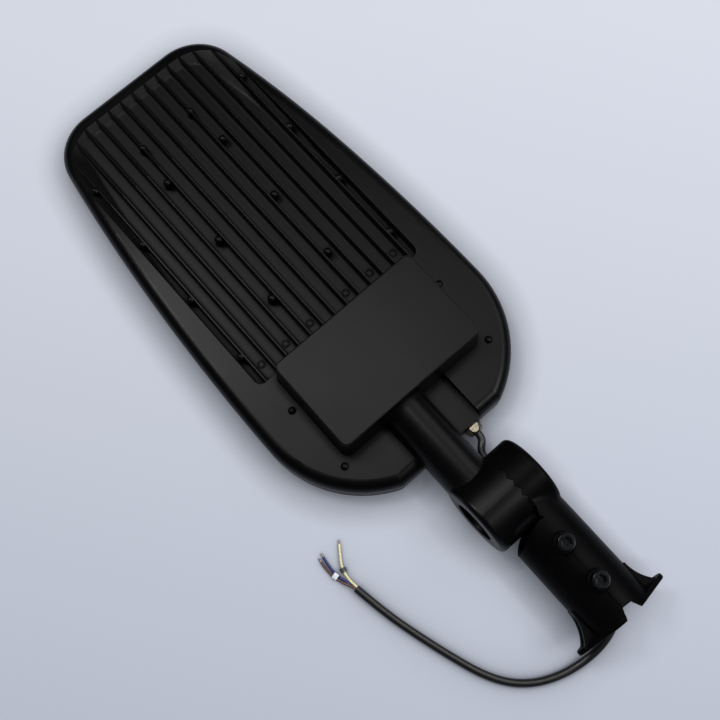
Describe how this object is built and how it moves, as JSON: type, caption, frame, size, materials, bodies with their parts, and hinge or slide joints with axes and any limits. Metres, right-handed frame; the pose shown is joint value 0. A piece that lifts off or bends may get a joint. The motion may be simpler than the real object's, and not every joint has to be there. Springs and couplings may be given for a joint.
{
  "type": "led street light head",
  "caption": "Street light head with a finned cast back, a driver box, a toothed knuckle, a pole sleeve with a wall flange, and a cable with bared cores.",
  "frame": {"origin": "below the middle of the length, on the plane of the face that gives light, on which the head lies in the picture", "axes": "+X along the head from its tip to the pole end, +Y to the cable gland's side, +Z out of the finned back"},
  "size_m": [0.7579, 0.3109, 0.0895],
  "materials": {
    "powder_coat": "satin black powder coat on die-cast aluminium",
    "black_steel": "black oxide",
    "bright_steel": "plain",
    "brass": "dull nickel-brass",
    "black_rubber": "matt",
    "grey_rubber": "matt",
    "white_board": "white solder mask",
    "chip_yellow": "matt",
    "clear_lens": "clear",
    "driver_case": "plain",
    "white_plastic": "matt",
    "black_plastic": "matt",
    "clear_plastic": "clear",
    "blue_pvc": "satin",
    "brown_pvc": "satin",
    "cream_pvc": "satin"
  },
  "bodies": {
    "head": {"housing": "powder_coat", "pivot_nut": "bright_steel", "gland_body": "brass", "gland_nut": "brass", "gland_seal": "black_rubber", "gland_locknut": "brass", "gland_washer": "black_rubber", "led_board": "white_board", "led_chips": "chip_yellow", "lens_plate": "clear_lens", "lens_gasket": "grey_rubber", "cover_gasket": "grey_rubber", "driver_cover": "powder_coat", "lens_screws": "bright_steel", "board_screws": "bright_steel", "cover_screws": "bright_steel", "driver_screws": "bright_steel", "driver": "driver_case", "terminal_block": "white_plastic", "driver_leads": "brown_pvc", "cable_in_head": "black_rubber", "cable_bridge": "black_rubber"},
    "pivot_bolt": {"pivot_bolt": "bright_steel", "pivot_washer": "bright_steel"},
    "sleeve": {"sleeve": "powder_coat", "cable_in_sleeve": "black_rubber", "supply_cable": "black_rubber", "core_blue": "blue_pvc", "core_brown": "brown_pvc", "core_earth": "cream_pvc", "core_tips": "bright_steel", "earth_bead": "black_plastic", "core_sleeve": "clear_plastic"},
    "clamp_screw_near": {"clamp_screw_near": "black_steel"},
    "clamp_screw_far": {"clamp_screw_far": "black_steel"}
  },
  "joints": [
    {"name": "knuckle_release", "type": "slide", "parent": "head", "child": "pivot_bolt", "axis": [0, 1, 0], "range_m": [0, 0.0045], "deforming": ["cable_bridge"]},
    {"name": "knuckle_turn", "type": "hinge", "parent": "pivot_bolt", "child": "sleeve", "pos_m": [0.2205, 0, 0.04], "axis": [0, 1, 0], "range_deg": [-75, 75], "deforming": ["cable_bridge"]},
    {"name": "clamp_near", "type": "slide", "parent": "sleeve", "child": "clamp_screw_near", "axis": [0, 0, -1], "range_m": [0, 0.003]},
    {"name": "clamp_far", "type": "slide", "parent": "sleeve", "child": "clamp_screw_far", "axis": [0, 0, -1], "range_m": [0, 0.003]}
  ]
}
